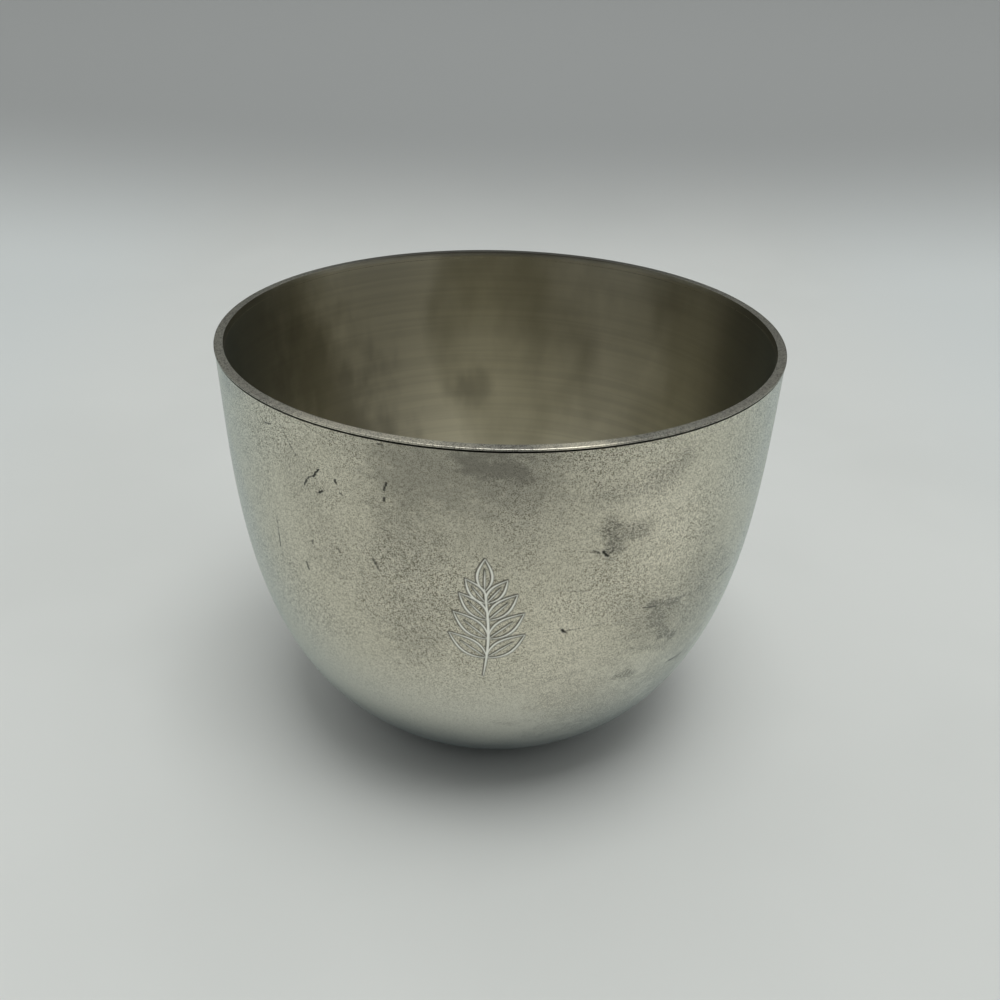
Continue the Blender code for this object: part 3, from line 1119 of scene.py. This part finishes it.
# Two angles, a width in mm and a strength
RUBS = (((-30.0,), (-13.0,), 5.5, 0.60), ((11.0,), (16.0,), 3.2, 1.0))
RUB_UNREST, RUB_COVER = (250.0, 4.0, 0.6, 0.8), 0.6
FAR_SHADE_STEP = (0.016, 0.040)
COARSER = 0.68
RIM_GRAIN = {"Least": 0.75, "Most": 0.90}


def on_lip(angle):
    """The point on the lip's outer edge at an angle in degrees."""
    return tuple(turned(rim_radius, radians(angle), rim_top))


rubbed, tree, place = start_metal("rubbed_pewter", PLAIN_EDGE)
rub_unrest = unrest(tree, place, *RUB_UNREST)
rub = marked(tree, place, rub_unrest, SOFT_EDGE, placed(RUBS, on_lip))
# The far side of the lip is painted darker as shade
far_shade = ramp(tree, axes(tree, place)[1], *FAR_SHADE_STEP)
coarser = node(tree, "VectorMath", {0: place, "Scale": COARSER}, operation="SCALE").outputs[0]
rim_grain = use_group(tree, grain, {"Place": coarser} | RIM_GRAIN)
colour = tint(tree, rub, tint(tree, far_shade, RIM_DULL, RIM_FAR_SHADE), RIM_BRIGHT)
unrubbed = calc(tree, "SUBTRACT", 1.0, calc(tree, "MULTIPLY", rub, RUB_COVER))
colour = tint(tree, calc(tree, "MULTIPLY", rim_grain["Speck"], unrubbed), colour, RIM_SPECK_AND_SHADE)
print("the lip's rubbed metal takes", len(tree.nodes), "nodes")

# %% The rim's bore and corner
RIM_ROUGH, CORNER_ROUGH = (0.31, 0.35), 0.7
RIM_BUMP = (0.10, 0.00005)

rough = ramp(tree, rim_grain["Patch"], 0.0, 1.0, *RIM_ROUGH)
bore = layer(tree, "bore")
bore_tone = use_group(tree, tone, {"Place": place})
colour = tint(tree, bore, colour, bore_tone["Colour"])
rough = mixed(tree, bore, rough, bore_tone["Rough"])
# On the far side the inner corner is painted dark as shade, and roughened, so that it shows no glint
shaded_corner = calc(tree, "MULTIPLY", layer(tree, "corner"), far_shade)
colour = tint(tree, shaded_corner, colour, RIM_SPECK_AND_SHADE)
rough = mixed(tree, shaded_corner, rough, CORNER_ROUGH)
raised = bump(tree, rim_grain["Sand"], *RIM_BUMP)
finish_metal(ring, rubbed, {"Base Color": colour, "Roughness": rough, "Normal": raised})

# %% [markdown]
# ## Tarnished solder
# Nearly black tin, dull and lumpy. In places, most of all on the right, rubbing has left it paler. A
# value stored on the mesh says where it was wiped, and there it fades into the tone of the inside.

# %% The seam's solder
SOLDER_DARK = (0.040, 0.037, 0.030, 1.0)
SOLDER_GREY = (0.11, 0.104, 0.086, 1.0)
SOLDER_PALE = (0.30, 0.28, 0.225, 1.0)
LUMPS, LUMP_STEP, LUMP_ROUGH = (1800.0, 3.0, 0.6), (0.45, 0.7), (0.3, 0.7, 0.75, 0.55)
PALER, PALER_STEP = (160.0, 3.0, 0.6), (0.40, 0.62)
TO_RIGHT = (0.002, 0.020, 0.40, 0.85)
LUMP_BUMP = (0.5, 0.0001)

tarnished, tree, place = start_metal("tarnished_solder", PLAIN_EDGE)
wiped = layer(tree, "wiped")
lumps = noise(tree, place, *LUMPS)
colour = tint(tree, ramp(tree, lumps, *LUMP_STEP), SOLDER_DARK, SOLDER_GREY)
to_right = ramp(tree, axes(tree, place)[0], *TO_RIGHT)
paler = ramp(tree, noise(tree, place, *PALER), *PALER_STEP)
colour = tint(tree, calc(tree, "MULTIPLY", paler, to_right), colour, SOLDER_PALE)
wiped_tone = use_group(tree, tone, {"Place": place})
colour = tint(tree, wiped, colour, wiped_tone["Colour"])
rough = mixed(tree, wiped, ramp(tree, lumps, *LUMP_ROUGH), wiped_tone["Rough"])
unwiped = calc(tree, "MULTIPLY", lumps, calc(tree, "SUBTRACT", 1.0, wiped))
raised = bump(tree, unwiped, *LUMP_BUMP)
finish_metal(solder, tarnished, {"Base Color": colour, "Roughness": rough, "Normal": raised})

# %% [markdown]
# ## Floor and backdrop
# The cup stands on a pale sweep of paper: a round floor that curves up into a low wall on all sides,
# so that every view has the same quiet background. The paper is palest round the cup and a little
# cooler to its left and right. Further away it is painted greyer as shade, as under one lamp: towards
# the back, in front where the viewer's shadow falls, and darker still up the wall.

# %% The sweep
SWEEP_MIDDLE = (0.0, -0.60, 0.0)
FLOOR_START, FLOOR_RADIUS, FLOOR_ROWS = 0.05, 0.84, 11
COVE_RADIUS, COVE_ROWS = 0.24, 25
WALL_RISE = 0.05
SWEEP_COLUMNS = 128

floor_r = np.linspace(FLOOR_START, FLOOR_RADIUS, FLOOR_ROWS, endpoint=False)
cove_turn = np.linspace(0.0, np.pi / 2, COVE_ROWS)
cove_r = FLOOR_RADIUS + COVE_RADIUS * np.sin(cove_turn)
cove_z = COVE_RADIUS * (1 - np.cos(cove_turn))
sweep_r = np.concatenate([floor_r, cove_r, cove_r[-1:]])
sweep_z = np.concatenate([np.zeros(FLOOR_ROWS), cove_z, cove_z[-1:] + WALL_RISE])
sweep_turn = np.linspace(0.0, 2 * np.pi, SWEEP_COLUMNS, endpoint=False)
sweep_grid = turned(sweep_r[:, None], sweep_turn, sweep_z[:, None]).reshape(-1, 3)
sweep_points = np.vstack([sweep_grid, np.zeros(3)]) + SWEEP_MIDDLE
sweep_quads = ring_faces(len(sweep_r), SWEEP_COLUMNS, False)[:, ::-1]
sweep_fan = fan_faces(len(sweep_points) - 1, np.arange(SWEEP_COLUMNS), False)
sweep_mesh = bpy.data.meshes.new("paper_sweep")
sweep_mesh.from_pydata(sweep_points.tolist(), [], sweep_quads.tolist() + sweep_fan.tolist())
sweep_mesh.shade_smooth()
sweep = bpy.data.objects.new("paper_sweep", sweep_mesh)
bpy.context.scene.collection.objects.link(sweep)
print("sweep of", len(sweep_mesh.polygons), "faces, facing up:", sweep_mesh.polygons[0].normal.z > 0)

# %% The paper
PAPER = (0.70, 0.72, 0.70, 1.0)
PAPER_FLECK = (0.67, 0.69, 0.67, 1.0)
PAPER_SIDE = (0.685, 0.72, 0.714, 1.0)
# Painted shade: the paper greyer towards the back and in front, and darker up the wall
PAPER_PAINTED_SHADE = (0.36, 0.373, 0.37, 1.0)
PAPER_WALL_SHADE = (0.16, 0.165, 0.165, 1.0)
PAPER_ROUGH = 0.6
FLECKS, FLECK_STEP = (9.0, 3.0, 0.6), (0.4, 0.65)
BACK_STEP_M, FRONT_STEP_M = (0.23, 0.40), (-0.20, -0.08, 1.0, 0.0)
SIDE_STEP_M, CLIMB_STEP_M = (0.09, 0.17), (0.06, 0.26)

paper = bpy.data.materials.new("paper")
paper.use_nodes = True
tree = paper.node_tree
place = tree.nodes.new("ShaderNodeTexCoord").outputs["Object"]
flecks = ramp(tree, noise(tree, place, *FLECKS), *FLECK_STEP)
split = axes(tree, place)
# Painted shade: greyer towards the back, and in front where the viewer's shadow would fall
back = ramp(tree, calc(tree, "ADD", split[1], split[2]), *BACK_STEP_M)
front = ramp(tree, split[1], *FRONT_STEP_M)
side = ramp(tree, calc(tree, "ABSOLUTE", split[0]), *SIDE_STEP_M)
colour = tint(tree, side, tint(tree, flecks, PAPER, PAPER_FLECK), PAPER_SIDE)
colour = tint(tree, calc(tree, "MAXIMUM", back, front), colour, PAPER_PAINTED_SHADE)
# Painted shade, darker as the wall climbs
colour = tint(tree, ramp(tree, split[2], *CLIMB_STEP_M), colour, PAPER_WALL_SHADE)
shader = tree.nodes["Principled BSDF"]
tree.links.new(colour, shader.inputs["Base Color"])
shader.inputs["Roughness"].default_value = PAPER_ROUGH
sweep_mesh.materials.append(paper)
print("paper has", len(tree.nodes), "nodes")

# %% [markdown]
# ## Light
# The light is that of a plain room: a broad pale ceiling, darker walls low down, and one large soft
# lamp overhead, a little to the right and in front, which makes the shadow. The world is the ceiling
# and the walls: its colour steps from dark to pale as the direction climbs, and the dark reaches higher
# in front and a little to the left, where the viewer stands in the way of the light. A photographed
# room would give richer reflections, but two colours and a step are easy to read and to change.

# %% The lamp
LAMP_PLACE = Vector((0.12, -0.28, 1.38))
LAMP_SIDE, LAMP_POWER = 0.7, 8.7

lamp = bpy.data.lights.new("overhead", "AREA")
lamp.shape = "RECTANGLE"
lamp.size = lamp.size_y = LAMP_SIDE
lamp.energy = LAMP_POWER
overhead = bpy.data.objects.new("overhead", lamp)
overhead.location = LAMP_PLACE
overhead.rotation_euler = (-LAMP_PLACE).to_track_quat("-Z", "Y").to_euler()
bpy.context.scene.collection.objects.link(overhead)
print("the lamp is", round(LAMP_PLACE.length, 2), "m from the cup")

# %% The world
SKY_LOW = (0.07, 0.072, 0.075, 1.0)
SKY_HIGH = (0.60, 0.61, 0.60, 1.0)
SKY_STEP = (0.28, 0.52)
SHADE_HEADING = (0.09, 0.25, 0.0)

world = bpy.data.worlds.new("studio")
bpy.context.scene.world = world
world.use_nodes = True
tree = world.node_tree
direction = tree.nodes.new("ShaderNodeTexCoord").outputs["Generated"]
shaded = vector(tree, "DOT_PRODUCT", direction, SHADE_HEADING, "Value")
climb = calc(tree, "ADD", axes(tree, direction)[2], calc(tree, "MINIMUM", shaded, 0.0))
sky = tint(tree, ramp(tree, climb, *SKY_STEP), SKY_LOW, SKY_HIGH)
tree.links.new(sky, tree.nodes["Background"].inputs["Color"])
print("the sky has", len(tree.nodes), "nodes")

# %% [markdown]
# ## Camera
# The camera could be placed by eye, but a turned shape lets its place be found by fitting outlines:
# how far in front it stands, how high, how much it looks down, and how far it is turned and tilted.

# %% Camera
CAMERA_PLACE = (0.0, -0.14712, 0.11741)
LOOK_DOWN, TURN, TILT = 28.92, 0.20, 1.51
SENSOR = 36.0
FOCAL_SHARE = 1.03978
NEAR_CLIP = 0.005

camera_data = bpy.data.cameras.new("camera")
camera_data.sensor_width = SENSOR
camera_data.lens = FOCAL_SHARE * SENSOR
camera_data.clip_start = NEAR_CLIP
camera = bpy.data.objects.new("camera", camera_data)
camera.matrix_world = (
    Matrix.Translation(CAMERA_PLACE)
    @ Matrix.Rotation(radians(-TURN), 4, "Z")
    @ Matrix.Rotation(radians(90.0 - LOOK_DOWN), 4, "X")
    @ Matrix.Rotation(radians(TILT), 4, "Z")
)
bpy.context.scene.collection.objects.link(camera)
bpy.context.scene.camera = camera
bpy.context.scene.view_settings.view_transform = "Standard"
print("camera at", CAMERA_PLACE)
